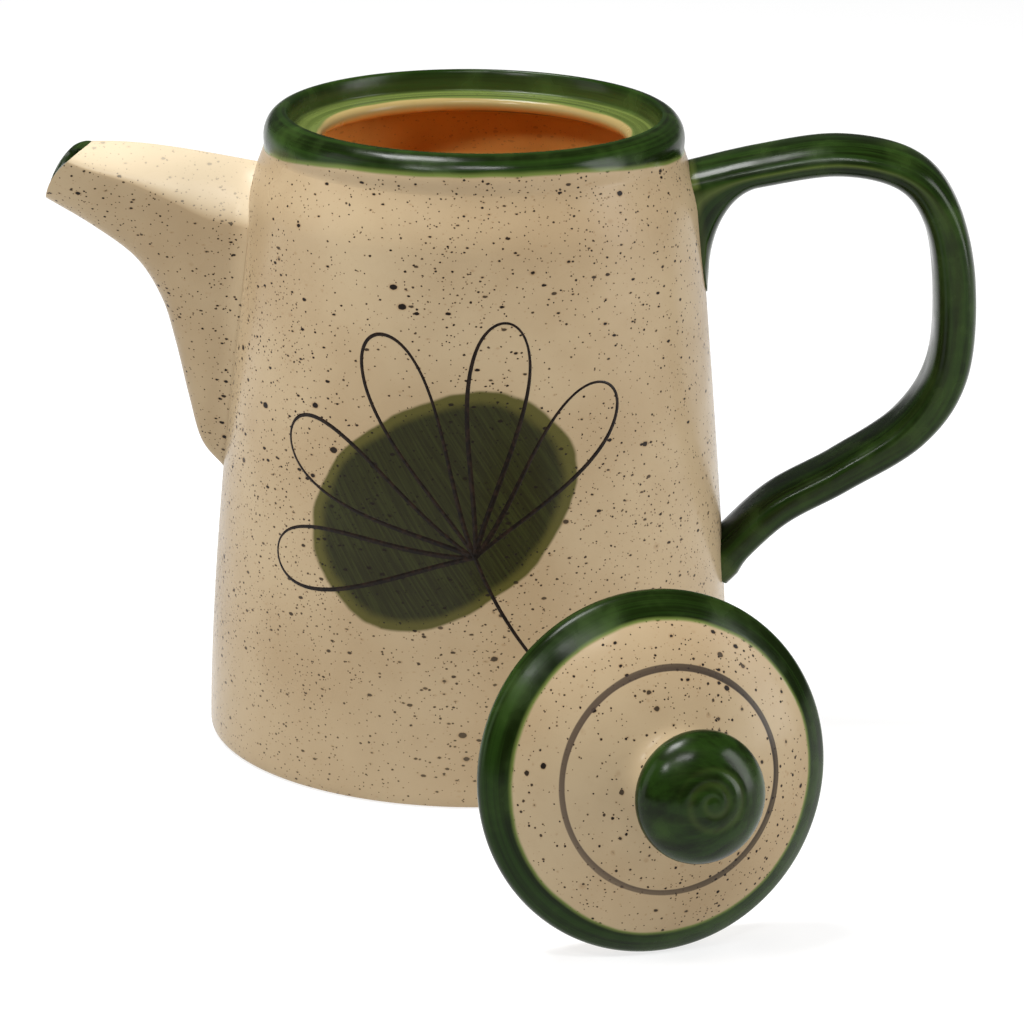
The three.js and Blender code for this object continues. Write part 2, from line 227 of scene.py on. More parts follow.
def lathe(name, profile, materials, paint=None, sides=192, loop=False, crease=CREASE):
    """Turns (radius, height) points about Z. paint gives each strip of faces its material's number."""
    points, rings = [], []
    for r, z in profile:
        if r < 1e-6:
            rings.append([len(points)])
            points.append((0, 0, z))
            continue
        rings.append(list(range(len(points), len(points) + sides)))
        for j in range(sides):
            angle = 2 * math.pi * j / sides
            points.append((r * math.cos(angle), r * math.sin(angle), z))
    faces, numbers = [], []
    spans = list(zip(rings, rings[1:])) + ([(rings[-1], rings[0])] if loop else [])
    for strip, (low, high) in enumerate(spans):
        for j in range(sides):
            k = (j + 1) % sides
            corners = [low[j % len(low)], low[k % len(low)], high[k % len(high)], high[j % len(high)]]
            faces.append(list(dict.fromkeys(corners)))
            numbers.append(paint(strip) if paint else 0)
    piece = mesh_piece(name, points, faces, materials, crease)
    piece.data.polygons.foreach_set("material_index", numbers)
    return piece


def loft(name, rings, materials, caps=True, crease=CREASE, inner=0):
    """Joins rings of equally many points. The last inner spans take the second material."""
    count = len(rings[0])
    points = [p for ring in rings for p in ring]
    faces, numbers = [], []
    for i in range(len(rings) - 1):
        for j in range(count):
            k = (j + 1) % count
            faces.append([i * count + j, i * count + k, (i + 1) * count + k, (i + 1) * count + j])
            numbers.append(1 if i >= len(rings) - 1 - inner else 0)
    if caps:
        last = (len(rings) - 1) * count
        faces.append(list(range(count)))
        faces.append([last + j for j in range(count)])
        numbers += [0, numbers[-1]]
    piece = mesh_piece(name, points, faces, materials, crease)
    piece.data.polygons.foreach_set("material_index", numbers)
    return piece


def point_attribute(piece, name, values):
    attribute = piece.data.attributes.new(name, "FLOAT_VECTOR", "POINT")
    attribute.data.foreach_set("vector", [x for v in values for x in v])


# ---- Shader building ----
class Paint:
    """Builds a node material: each method adds a node and gives back its output socket."""

    def __init__(self, name):
        self.material = bpy.data.materials.new(name)
        self.material.use_nodes = True
        self.tree = self.material.node_tree
        self.shader = self.tree.nodes["Principled BSDF"]

    def node(self, kind, inputs=(), **settings):
        made = self.tree.nodes.new(kind)
        for key, value in settings.items():
            setattr(made, key, value)
        for key, value in dict(inputs).items():
            self.put(made.inputs[key], value)
        return made

    def put(self, socket, value):
        if isinstance(value, bpy.types.NodeSocket):
            self.tree.links.new(value, socket)
        elif isinstance(value, tuple) and len(value) == 3 and socket.type == "RGBA":
            socket.default_value = (*value, 1)
        else:
            socket.default_value = value

    def math(self, operation, a, b=0.0, clamp=False):
        made = self.node("ShaderNodeMath", {0: a, 1: b}, operation=operation, use_clamp=clamp)
        return made.outputs[0]

    def place(self):
        return self.node("ShaderNodeTexCoord").outputs["Object"]

    def split(self, vector):
        return self.node("ShaderNodeSeparateXYZ", {0: vector}).outputs

    def join(self, x, y, z):
        return self.node("ShaderNodeCombineXYZ", {0: x, 1: y, 2: z}).outputs[0]

    def moved(self, vector, scale, turn=(0.0, 0.0, 0.0), shift=(0.0, 0.0, 0.0)):
        inputs = {"Vector": vector, "Scale": scale, "Rotation": turn, "Location": shift}
        return self.node("ShaderNodeMapping", inputs).outputs[0]

    def noise(self, vector, scale, detail=2.0, rough=0.5):
        inputs = {"Vector": vector, "Scale": scale, "Detail": detail, "Roughness": rough}
        return self.node("ShaderNodeTexNoise", inputs).outputs["Fac"]

    def step(self, value, low, high, to_low=0.0, to_high=1.0):
        inputs = {"Value": value, "From Min": low, "From Max": high, "To Min": to_low, "To Max": to_high}
        made = self.node("ShaderNodeMapRange", inputs, interpolation_type="SMOOTHSTEP")
        return made.outputs[0]

    def mix(self, share, a, b):
        made = self.node("ShaderNodeMix", data_type="RGBA")
        self.put(made.inputs[0], share)
        self.put(made.inputs[6], a)
        self.put(made.inputs[7], b)
        return made.outputs[2]

    def blend(self, share, a, b):
        made = self.node("ShaderNodeMix", {0: share, 2: a, 3: b}, data_type="FLOAT")
        return made.outputs[0]

    def finish(self, color, roughness, height, depth=0.0002, gloss=0.1):
        """Connects a glossy glaze: its colour, roughness and relief."""
        self.put(self.shader.inputs["Base Color"], color)
        self.put(self.shader.inputs["Roughness"], roughness)
        self.shader.inputs["IOR"].default_value = 1.5
        self.shader.inputs["Specular IOR Level"].default_value = gloss
        if height is not None:
            bump = self.node("ShaderNodeBump", {"Height": height, "Strength": 1.0, "Distance": depth})
            self.put(self.shader.inputs["Normal"], bump.outputs[0])
        return self.material


CREAM_LIGHT = (0.395, 0.305, 0.188)
CREAM_TAN = (0.325, 0.237, 0.137)
# Painted highlight colour for the spout's upper facet.
CREAM_PAINTED_HIGHLIGHT = (0.66, 0.57, 0.42)
SPECK_DARK = (0.011, 0.007, 0.005)
SPECK_HALO = (0.22, 0.125, 0.055)
GREEN_DEEP = (0.0045, 0.0092, 0.0012)
GREEN_MID = (0.011, 0.027, 0.0035)
GREEN_LIGHT = (0.046, 0.088, 0.015)
GREEN_THIN = (0.145, 0.185, 0.045)
GREEN_GLOSS = 0.14
WASH_DEEP = (0.005, 0.0078, 0.001)
WASH_MID = (0.015, 0.021, 0.0035)
WASH_THIN = (0.062, 0.058, 0.011)
LINE_INK = (0.008, 0.006, 0.005)
LINE_DRY = (0.02, 0.012, 0.008)
RING_TAUPE = (0.060, 0.042, 0.032)
# Painted shade colour for the darker side of the lid's ring.
RING_PAINTED_SHADE = (0.014, 0.010, 0.009)
BROWN_LIGHT = (0.84, 0.43, 0.11)
BROWN_DEEP = (0.74, 0.36, 0.085)
LIP_CREAM = (0.30, 0.22, 0.085)
LIP_BROWN = (0.72, 0.31, 0.06)
CLAY_LIGHT = (0.70, 0.56, 0.40)
CLAY_DARK = (0.55, 0.42, 0.28)

# Each kind of speck: cell size and radius in metres, share of cells in use, stretch and turn.
SPECK_KINDS = [
    (0.0009, 0.00018, 0.74, (1.0, 1.0, 1.0), 0.0),
    (0.0014, 0.00029, 0.74, (0.85, 0.85, 1.15), 0.5),
    (0.0024, 0.00044, 0.72, (0.65, 0.65, 1.2), -0.7),
    (0.0068, 0.00079, 0.62, (0.75, 0.75, 1.1), 0.3),
]


def specks(paint, place):
    """Iron specks in the glaze: how dark each place is, and a softer halo round them."""
    wobble = paint.node("ShaderNodeTexNoise", {"Vector": place, "Scale": 1500.0, "Detail": 1.0})
    offset = paint.node("ShaderNodeVectorMath", {0: wobble.outputs["Color"], 1: (0.5, 0.5, 0.5)},
                        operation="SUBTRACT")
    small = paint.node("ShaderNodeVectorMath", {0: offset.outputs[0], "Scale": 0.00028}, operation="SCALE")
    rough = paint.node("ShaderNodeVectorMath", {0: place, 1: small.outputs[0]}, operation="ADD").outputs[0]
    crowd = paint.step(paint.noise(place, 38.0), 0.35, 0.65, 0.55, 1.25)
    dark, halo = None, None
    for cell, radius, share, stretch, turn in SPECK_KINDS:
        scale = tuple(s / cell for s in stretch)
        where = paint.moved(rough, scale, (turn, turn * 0.6, turn), (cell * 900, 0.37, 0.71))
        cells = paint.node("ShaderNodeTexVoronoi", {"Vector": where, "Scale": 1.0})
        chance = paint.split(cells.outputs["Color"])
        used = paint.math("LESS_THAN", chance[0], paint.math("MULTIPLY", crowd, share))
        size = paint.math("MULTIPLY", paint.step(chance[1], 0.0, 1.0, 0.6, 1.0), radius / cell)
        size = paint.math("MULTIPLY", size, used)
        distance = cells.outputs["Distance"]
        core = paint.step(paint.math("SUBTRACT", size, distance), 0.0, 0.16 * radius / cell)
        edge = paint.step(paint.math("SUBTRACT", size, distance), -0.5 * radius / cell, 0.1 * radius / cell)
        edge = paint.math("MULTIPLY", edge, used)
        core = paint.math("MULTIPLY", core, paint.step(chance[2], 0.0, 0.5, 0.85, 1.0))
        dark = core if dark is None else paint.math("MAXIMUM", dark, core)
        halo = edge if halo is None else paint.math("MAXIMUM", halo, edge)
    return dark, halo


def cream(paint, place, marks=None):
    """Warm cream glaze: its colour, roughness and relief. marks are its specks, if they are made already."""
    cloud = paint.noise(place, 26.0, 3.0, 0.55)
    color = paint.mix(paint.step(cloud, 0.3, 0.72), CREAM_LIGHT, CREAM_TAN)
    fine = paint.noise(place, 420.0, 3.0, 0.6)
    color = paint.mix(paint.step(fine, 0.45, 0.8, 0.0, 0.16), color, CREAM_TAN)
    dark, halo = marks or specks(paint, place)
    color = paint.mix(paint.math("MULTIPLY", halo, 0.38), color, SPECK_HALO)
    color = paint.mix(dark, color, SPECK_DARK)
    wave = paint.math("MULTIPLY", paint.noise(place, 55.0, 2.0), 0.9)
    pits = paint.math("MULTIPLY", dark, -0.12)
    height = paint.math("ADD", paint.math("ADD", wave, pits), paint.math("MULTIPLY", fine, 0.05))
    roughness = paint.blend(dark, paint.step(cloud, 0.3, 0.7, 0.2, 0.3), 0.42)
    return color, roughness, height


def green(paint, place, stroke, thin):
    """Brushed green glaze. stroke varies slowly along the brush; thin is where it breaks to yellow."""
    streak = paint.noise(stroke, 1.0, 4.0, 0.62)
    pool = paint.noise(place, 90.0, 3.0, 0.55)
    color = paint.mix(paint.step(streak, 0.36, 0.66), GREEN_DEEP, GREEN_MID)
    color = paint.mix(paint.math("MULTIPLY", paint.step(pool, 0.42, 0.85), 0.5), color, GREEN_LIGHT)
    color = paint.mix(thin, color, GREEN_THIN)
    spots = paint.node("ShaderNodeTexVoronoi", {"Vector": place, "Scale": 190.0})
    chance = paint.split(spots.outputs["Color"])
    reach = paint.math("MULTIPLY", chance[1], 0.1)
    spot = paint.step(paint.math("SUBTRACT", reach, spots.outputs["Distance"]), 0.0, 0.03)
    spot = paint.math("MULTIPLY", spot, paint.math("LESS_THAN", chance[0], 0.3))
    color = paint.mix(paint.math("MULTIPLY", spot, 0.8), color, SPECK_DARK)
    wave = paint.noise(place, 70.0, 2.0)
    height = paint.math("ADD", wave, paint.math("MULTIPLY", streak, 0.18))
    roughness = paint.step(pool, 0.3, 0.7, 0.16, 0.3)
    return color, roughness, height


def both(paint, share, first, second):
    """Two glazes mixed, each given as colour, roughness and relief."""
    return (paint.mix(share, first[0], second[0]), paint.blend(share, first[1], second[1]),
            paint.blend(share, first[2], second[2]))


def around(paint, place, coarse=14.0, fine=900.0):
    """Stroke coordinates for brushing round an upright axis."""
    x, y, z = paint.split(place)
    squares = paint.math("ADD", paint.math("MULTIPLY", x, x), paint.math("MULTIPLY", y, y))
    radius = paint.math("SQRT", squares)
    spread = paint.math("MULTIPLY", radius, fine)
    stroke = paint.join(paint.math("ADD", paint.math("MULTIPLY", x, coarse), spread),
                        paint.math("MULTIPLY", y, coarse), paint.math("MULTIPLY", z, fine))
    return stroke, radius


DRAWING_RADIUS = 54.5  # the wall's radius behind the drawing
WASH_CENTRE = (-0.0065, 0.0658)  # along the wall from the front, and height
WASH_HALF = (0.0313, 0.0226)
WASH_SLOPE = math.radians(33)


def wash_masks(paint, place):
    """The oval wash: its whole area, and a darker inner area where the brush went twice."""
    x, y, z = paint.split(place)
    angle = paint.math("ARCTAN2", x, paint.math("MULTIPLY", y, -1.0))
    along = paint.math("SUBTRACT", paint.math("MULTIPLY", angle, DRAWING_RADIUS * MM), WASH_CENTRE[0])
    up = paint.math("SUBTRACT", z, WASH_CENTRE[1])
    c, s = math.cos(WASH_SLOPE), math.sin(WASH_SLOPE)
    major = paint.math("ADD", paint.math("MULTIPLY", along, c), paint.math("MULTIPLY", up, s))
    minor = paint.math("SUBTRACT", paint.math("MULTIPLY", up, c), paint.math("MULTIPLY", along, s))
    front = paint.math("LESS_THAN", y, 0.0)
    masks = []
    for shift, share, soft in (((0.0, 0.0), 1.0, 0.04), ((-0.0004, -0.0002), 0.9, 0.13)):
        p = paint.math("DIVIDE", paint.math("SUBTRACT", major, shift[0]), WASH_HALF[0] * share)
        q = paint.math("DIVIDE", paint.math("SUBTRACT", minor, shift[1]), WASH_HALF[1] * share)
        reach = paint.math("ADD", paint.math("POWER", paint.math("ABSOLUTE", p), 2.25),
                           paint.math("POWER", paint.math("ABSOLUTE", q), 2.25))
        ragged = paint.step(paint.noise(place, 45.0, 3.0), 0.2, 0.8, -0.12, 0.12)
        mask = paint.step(paint.math("ADD", reach, ragged), 1.0 - soft, 1.0 + soft, 1.0, 0.0)
        masks.append(paint.math("MULTIPLY", mask, front))
    stroke = paint.join(paint.math("MULTIPLY", major, 1700.0), paint.math("MULTIPLY", minor, 60.0), z)
    return masks[0], masks[1], stroke


def body_glaze():
    """The outside of the pot's wall: cream, with a brushed green oval on its front."""
    paint = Paint("cream_wall")
    place = paint.place()
    marks = specks(paint, place)
    color, roughness, height = cream(paint, place, marks)
    low = paint.step(paint.split(place)[2], 0.0, 0.085, 0.42, 0.0)
    color = paint.mix(low, color, paint.mix(0.5, CREAM_TAN, color))
    outer, inner, stroke = wash_masks(paint, place)
    streak = paint.step(paint.noise(stroke, 1.0, 3.0, 0.6), 0.38, 0.68)
    deep = paint.mix(streak, WASH_DEEP, WASH_MID)
    wash = paint.mix(inner, WASH_THIN, deep)
    wash = paint.mix(paint.math("MULTIPLY", marks[0], 0.9), wash, SPECK_DARK)
    color = paint.mix(paint.math("MULTIPLY", outer, 0.96), color, wash)
    return paint.finish(color, roughness, height)


def plain_cream():
    paint = Paint("cream_plain")
    return paint.finish(*cream(paint, paint.place()))


def spout_cream():
    """The spout's outside: cream, with a painted highlight that lightens the upper facet."""
    paint = Paint("cream_spout_painted_highlight")
    color, roughness, height = cream(paint, paint.place())
    painted_highlight = paint.split(paint.node("ShaderNodeAttribute", attribute_name="painted_highlight").outputs["Vector"])[0]
    # Painted highlight: the upper facet is mixed towards a lighter cream, as if lit from above.
    color = paint.mix(paint.math("MULTIPLY", painted_highlight, 0.5), color, CREAM_PAINTED_HIGHLIGHT)
    return paint.finish(color, roughness, height)


def inner_glaze():
    """The inside of the pot: orange-brown, darker in pools."""
    paint = Paint("inner_brown")
    place = paint.place()
    cloud = paint.noise(place, 60.0, 4.0)
    color = paint.mix(paint.step(cloud, 0.35, 0.7), BROWN_LIGHT, BROWN_DEEP)
    dark = specks(paint, place)[0]
    color = paint.mix(paint.math("MULTIPLY", dark, 0.25), color, SPECK_DARK)
    return paint.finish(color, 0.28, cloud, 0.0001)


def clay():
    paint = Paint("bare_clay")
    place = paint.place()
    grain = paint.noise(place, 1800.0, 4.0, 0.7)
    color = paint.mix(paint.step(grain, 0.35, 0.7), CLAY_LIGHT, CLAY_DARK)
    return paint.finish(color, 0.75, grain, 0.00005)


def collar_glaze():
    """The rim: green outside and on its crest, yellow-green on the ledge, cream on the lip, brown below."""
    paint = Paint("rim_green")
    place = paint.place()
    stroke, radius = around(paint, place)
    y, z = paint.split(place)[1:3]
    facing = paint.math("DIVIDE", paint.math("ABSOLUTE", y), 0.0458, True)
    ragged = paint.step(paint.noise(place, 35.0, 2.0), 0.2, 0.8, -0.0006, 0.0006)
    edge = paint.math("ADD", paint.step(facing, 0.1, 1.0, 0.1322, 0.1358), ragged)
    outside = paint.math("GREATER_THAN", radius, 0.0432)
    above = paint.step(paint.math("SUBTRACT", z, edge), -0.0003, 0.0003)
    bare = paint.math("MULTIPLY", outside, paint.math("SUBTRACT", 1.0, above))
    fringe = paint.step(paint.math("SUBTRACT", z, edge), 0.0, 0.0014, 0.85, 0.0)
    fringe = paint.math("MULTIPLY", fringe, outside)
    inward = paint.step(radius, 0.0385, 0.0408, 0.7, 0.0)
    streaks = paint.step(paint.noise(stroke, 0.6, 3.0), 0.3, 0.7, 0.5, 1.3)
    thin = paint.math("MAXIMUM", fringe, paint.math("MULTIPLY", inward, streaks), True)
    painted = green(paint, place, stroke, thin)
    mixed = both(paint, bare, painted, cream(paint, place))
    lip = paint.step(paint.math("ADD", radius, ragged), 0.0340, 0.0346, 1.0, 0.0)
    below = paint.step(z, 0.1322, 0.1340, 1.0, 0.0)
    inside = paint.mix(below, LIP_CREAM, LIP_BROWN)
    color = paint.mix(lip, mixed[0], inside)
    return paint.finish(color, mixed[1], mixed[2], gloss=GREEN_GLOSS)


def strap_glaze():
    """Green glaze of the handle and knob; point attributes give the stroke and where it is thin."""
    paint = Paint("strap_green")
    place = paint.place()
    stroke = paint.node("ShaderNodeAttribute", attribute_name="stroke").outputs["Vector"]
    thin = paint.split(paint.node("ShaderNodeAttribute", attribute_name="thin").outputs["Vector"])[0]
    color, roughness, height = green(paint, place, stroke, thin)
    return paint.finish(color, roughness, height, gloss=GREEN_GLOSS)


def spout_inside():
    paint = Paint("spout_green")
    place = paint.place()
    stroke = paint.moved(place, (300.0, 300.0, 300.0))
    return paint.finish(*green(paint, place, stroke, 0.0))


BORDER_RADIUS = 0.0313
RING_RADIUS = 0.0225


def lid_glaze():
    """The lid's top: green border, cream field with a taupe ring, and the knob's glaze run onto the neck."""
    paint = Paint("lid_cream")
    place = paint.place()
    stroke, radius = around(paint, place, 16.0, 800.0)
    x, _, z = paint.split(place)
    ragged = paint.step(paint.noise(place, 40.0, 3.0), 0.2, 0.8, -0.0004, 0.0004)
    wavy = paint.math("ADD", radius, ragged)
    border = paint.step(wavy, BORDER_RADIUS - 0.0003, BORDER_RADIUS + 0.0003)
    thin = paint.step(wavy, BORDER_RADIUS, BORDER_RADIUS + 0.0009, 0.8, 0.0)
    painted = green(paint, place, stroke, thin)
    plain = cream(paint, place)
    off = paint.math("ABSOLUTE", paint.math("SUBTRACT", radius, RING_RADIUS))
    width = paint.step(paint.noise(place, 45.0), 0.3, 0.7, 0.00056, 0.00074)
    ring = paint.step(paint.math("SUBTRACT", width, off), -0.00008, 0.00016)
    # Painted shade: the taupe ring is drawn darker on its +X side, where less light falls.
    painted_shade_side = paint.step(x, -0.02, 0.02)
    taupe = paint.mix(painted_shade_side, RING_TAUPE, RING_PAINTED_SHADE)
    worn = paint.step(paint.noise(stroke, 0.5, 2.0), 0.25, 0.6, 0.7, 0.95)
    color = paint.mix(paint.math("MULTIPLY", ring, worn), plain[0], taupe)
    run = paint.step(paint.math("ADD", z, ragged), 0.0178, 0.0196)
    color = paint.mix(paint.math("MULTIPLY", run, 0.75), color, GREEN_THIN)
    color, roughness, height = both(paint, border, (color, plain[1], plain[2]), painted)
    return paint.finish(color, roughness, height)


def ink():
    paint = Paint("ink_line")
    place = paint.place()
    dry = paint.noise(place, 900.0, 2.0)
    color = paint.mix(paint.step(dry, 0.35, 0.75), LINE_INK, LINE_DRY)
    return paint.finish(color, 0.25, None)


CREAM_WALL = body_glaze()
CREAM_PLAIN = plain_cream()
CREAM_SPOUT = spout_cream()
INNER_BROWN = inner_glaze()
CLAY = clay()
RIM_GREEN = collar_glaze()
STRAP_GREEN = strap_glaze()
SPOUT_GREEN = spout_inside()
LID_CREAM = lid_glaze()
INK = ink()


# ---- The pot ----
def pot_body():
    foot = arc(BASE_RADIUS - BASE_EDGE, BASE_EDGE, BASE_EDGE, BASE_EDGE, -90, -20, 5)
    outside = wall_profile(BASE_EDGE, SEAM_Z, 90, 0)
    hidden = [Vector((ROLL_RADIUS - 0.2, SEAM_Z + 0.6)), Vector((ROLL_RADIUS - WALL, SEAM_Z + 0.6))]
    inside = wall_profile(FLOOR + CAVITY_CORNER, SEAM_Z, 50, WALL)[::-1]
    bend = inside[-1].x - CAVITY_CORNER
    corner = arc(bend, FLOOR + CAVITY_CORNER, CAVITY_CORNER, CAVITY_CORNER, 0, -90, 10)[1:]
    outer = 1 + len(foot) + len(outside)
    profile = [(0, 0), *foot, *outside, *hidden, *inside, *corner, (0, FLOOR)]
    piece = lathe("pot_wall", profile, [CREAM_WALL, INNER_BROWN, CLAY],
                  lambda strip: 2 if strip == 0 else 0 if strip < outer else 1)
    cut_strainer(piece)
    return piece


def cut_strainer(piece):
    """Pierces the wall behind the spout."""
    holes = bmesh.new()
    for row, count in enumerate(STRAINER_ROWS):
        z = RIDGE_ROOT_Z - STRAINER_DROP - row * STRAINER_PITCH
        for i in range(count):
            y = (i - (count - 1) / 2) * STRAINER_PITCH
            centre = Vector((-wall_radius(z), y, z)) * MM
            matrix = Matrix.Translation(centre) @ Matrix.Rotation(math.pi / 2, 4, "Y")
            bmesh.ops.create_cone(holes, cap_ends=True, segments=32, radius1=STRAINER_RADIUS * MM,
                                  radius2=STRAINER_RADIUS * MM, depth=4 * WALL * MM, matrix=matrix)
    mesh = bpy.data.meshes.new("holes")
    holes.to_mesh(mesh)
    holes.free()
    cutter = bpy.data.objects.new("holes", mesh)
    bpy.context.scene.collection.objects.link(cutter)
    mesh.materials.append(INNER_BROWN)
    modifier = piece.modifiers.new("holes", "BOOLEAN")
    modifier.operation = "DIFFERENCE"
    modifier.solver = "EXACT"
    modifier.object = cutter
    cut = bpy.data.meshes.new_from_object(piece.evaluated_get(bpy.context.evaluated_depsgraph_get()))
    piece.modifiers.clear()
    piece.data = cut
    bpy.data.objects.remove(cutter)
    edit = bmesh.new()
    edit.from_mesh(cut)
    crisp(edit, CREASE)
    edit.to_mesh(cut)
    edit.free()


def rim_collar():
    widest = POT_HEIGHT - ROLL_DROP
    outside = arc(CREST_RADIUS, widest, ROLL_RADIUS - CREST_RADIUS, ROLL_DROP, 0, 90, 24)
    back = arc(CREST_RADIUS, LEDGE_Z, CREST_RADIUS - LEDGE_RADIUS, POT_HEIGHT - LEDGE_Z, 90, 172, 16)[1:]
    flat = LEDGE_RADIUS - LEDGE_COVE
    cove = bezier([back[-1], (LEDGE_RADIUS, LEDGE_Z), (flat, LEDGE_Z)], 6)[1:]
    ledge_radii = [lerp(flat, MOUTH_RADIUS + MOUTH_LIP, i / 6) for i in range(1, 6)]
    ledge = [Vector((radius, LEDGE_Z)) for radius in ledge_radii]
    lip = arc(MOUTH_RADIUS + MOUTH_LIP, LEDGE_Z - MOUTH_LIP, MOUTH_LIP, MOUTH_LIP, 90, 270, 20)
    rise = bezier([(ROLL_RADIUS, SEAM_Z), (ROLL_RADIUS - 0.2, SEAM_Z + 0.8), (ROLL_RADIUS, widest - 0.8),
                   (ROLL_RADIUS, widest)], 8)[:-1]
    return lathe("rim", [*rise, *outside, *back, *cove, *ledge, *lip], [RIM_GREEN], loop=True)


def spout_ring(low, high, half_width, edge_share, bulge, count=64):
    height = high - low
    outward = Vector((-height.y, height.x)).normalized()
    ring = []
    for i in range(count):
        angle = -2 * math.pi * i / count
        across, along = math.cos(angle), math.sin(angle)
        power = UPPER_FACET_POWER if along > 0 else LOWER_FACET_POWER
        share = edge_share if along > 0 else 1 - edge_share
        level = 1 - edge_share + math.copysign(share * abs(along) ** power, along)
        y = half_width * math.copysign(abs(across) ** power, across)
        at = low + height * level + outward * bulge * (1 - (2 * level - 1) ** 2)
        ring.append(Vector((at.x, y, at.y)))
    return ring


def spout():
    wall = wall_radius(SPOUT_ROOT_Z)
    tip = Vector((-wall - SPOUT_REACH, SPOUT_TIP_Z))
    rise = SPOUT_TIP_Z - SPOUT_ROOT_Z
    shares = [(0, 0), (0.125, 0.1), (0.198, 0.271), (0.271, 0.474), (0.346, 0.633), (0.49, 0.781),
              (0.737, 0.9), (1, 1)]
    keel = [Vector((-wall - out * SPOUT_REACH, SPOUT_ROOT_Z + up * rise)) for out, up in shares]
    root = Vector((-wall_radius(RIDGE_ROOT_Z), RIDGE_ROOT_Z))
    end = tip + Vector((SPOUT_MOUTH_RUN, SPOUT_MOUTH_RISE))
    run = end.x - root.x
    ridge = [root, (root.x + 0.4 * run, root.y + RIDGE_RISES[0]),
             (root.x + 0.75 * run, root.y + RIDGE_RISES[1]), end]
    steps = 64
    ridge_points = bezier(ridge, steps)

    def ring_at(i, inset, shift=0.0):
        s = i / steps
        low, high = spline(keel, s), ridge_points[i].copy()
        axis = (high - low).normalized()
        low = low + axis * 1.5 * inset + Vector((shift, 0))
        high = high - axis * 1.25 * inset + Vector((shift, 0))
        flare = 1.6 * max(0, 1 - s / 0.09) ** 2 if inset == 0 else 0
        half = lerp(*SPOUT_HALF_WIDTHS, s) - inset + flare
        bulge = SPOUT_MOUTH_BULGE * smoothstep(s, 0.7, 1)
        return spout_ring(low, high, half, lerp(*SPOUT_EDGE_SHARES, s), bulge)

    outer = [ring_at(0, 0, TUCK)] + [ring_at(i, 0) for i in range(steps + 1)]
    lip = [ring_at(steps, inset) for inset in (0.5, 1.2, 2.0)]
    inner = [ring_at(i, SPOUT_WALL * 0.8) for i in range(steps - 1, -1, -1)]
    inner.append(ring_at(0, SPOUT_WALL * 0.8, TUCK))
    rings = outer + lip + inner
    piece = loft("spout_shell", rings, [CREAM_SPOUT, SPOUT_GREEN], caps=False, inner=len(inner) + len(lip))
    count = len(outer[0])
    # How much painted highlight each point of a ring gets: most on the upper facet, none below.
    facet = [smoothstep(math.sin(-2 * math.pi * j / count), -0.02, 0.5) for j in range(count)]
    point_attribute(piece, "painted_highlight", [(facet[j], 0, 0) for ring in rings for j in range(count)])
    return piece


def strap_section(sides, edged):
    """The handle's section, edged from 0, an evenly rounded strap, to 1, the bar with crisp edges."""
    section = []
    for j in range(sides):
        angle = 2 * math.pi * j / sides
        across, up = math.cos(angle), math.sin(angle)
        t = math.asin(min(1, abs(up))) / (math.pi / 2)
        crisp_across, crisp_up = curve_point(BAR_ABOVE if up >= 0 else BAR_BELOW, t)
        soft_across = abs(across) ** STRAP_SQUARENESS
        soft_up = math.copysign(abs(up) ** STRAP_SQUARENESS, up)
        section.append((math.copysign(lerp(soft_across, crisp_across, edged), across),
                        lerp(soft_up, crisp_up, edged)))
    return section


def handle():
    wall = wall_radius((HANDLE_TOP_Z + HANDLE_ROOT_Z) / 2)
    shares = [(-0.14, 0.925), (0.18, 0.972), (0.5, 1), (0.77, 0.966), (0.915, 0.865), (0.98, 0.69),
              (0.965, 0.48), (0.82, 0.335), (0.54, 0.222), (0.27, 0.128), (0.02, -0.02)]
    points = [Vector((wall + out * HANDLE_REACH, lerp(HANDLE_ROOT_Z, HANDLE_TOP_Z, up)))
              for out, up in shares]
    steps, sides = 300, 48
    line = evenly(lambda t: spline(points, t), steps)
    root_z = line[0].y
    slant = (wall_radius(root_z - HANDLE_WEB_DROP) - wall_radius(root_z)) / HANDLE_WEB_DROP
    rings, strokes, thins = [], [], []
    length = 0
    for i, centre in enumerate(line):
        s = i / steps
        before, after = line[max(0, i - 1)], line[min(steps, i + 1)]
        length += (centre - before).length
        if centre.x < wall_radius(max(0, centre.y)) - TUCK:
            continue
        along = (after - before).normalized()
        out = Vector((-along.y, along.x))
        bar, grip, tail = HANDLE_THICKNESSES
        thickness = lerp(lerp(bar, grip, smoothstep(s, 0.24, 0.48)), tail, smoothstep(s, 0.6, 0.8))
        off = centre.x - wall_radius(centre.y)
        clear = min(1, max(0, off / HANDLE_WEB_REACH))
        web = HANDLE_WEB_DROP * (1 - math.sqrt(1 - (1 - clear) ** 2)) if s < 0.5 else 0
        flare = 0.9 * max(0, 1 - max(0, off) / 3.5) ** 2
        ring = []
        for j, (across, up) in enumerate(strap_section(sides, 1 - smoothstep(s, 0.26, 0.42))):
            half = thickness / 2 + (flare if s > 0.5 else 0)
            x = centre.x + out.x * up * half + slant * web * max(0, -up)
            z = centre.y + out.y * up * half - web * max(0, -up)
            ring.append(Vector((x, across * HANDLE_HALF_WIDTH, z)))
            strokes.append((length * 0.035, 0.55 * j, 0))
            root = max(0, 1 - max(0, off) / 1.2) * (0.6 if s < 0.5 and up > 0 else 0.12)
            edge = max(0, abs(across) - 0.98) / 0.02 * lerp(0.35, 0.04, smoothstep(s, 0.2, 0.42))
            thins.append((min(1, root + edge), 0, 0))
        rings.append(ring)
    piece = loft("strap", rings, [STRAP_GREEN], crease=34)
    point_attribute(piece, "stroke", strokes)
    point_attribute(piece, "thin", thins)
    return piece


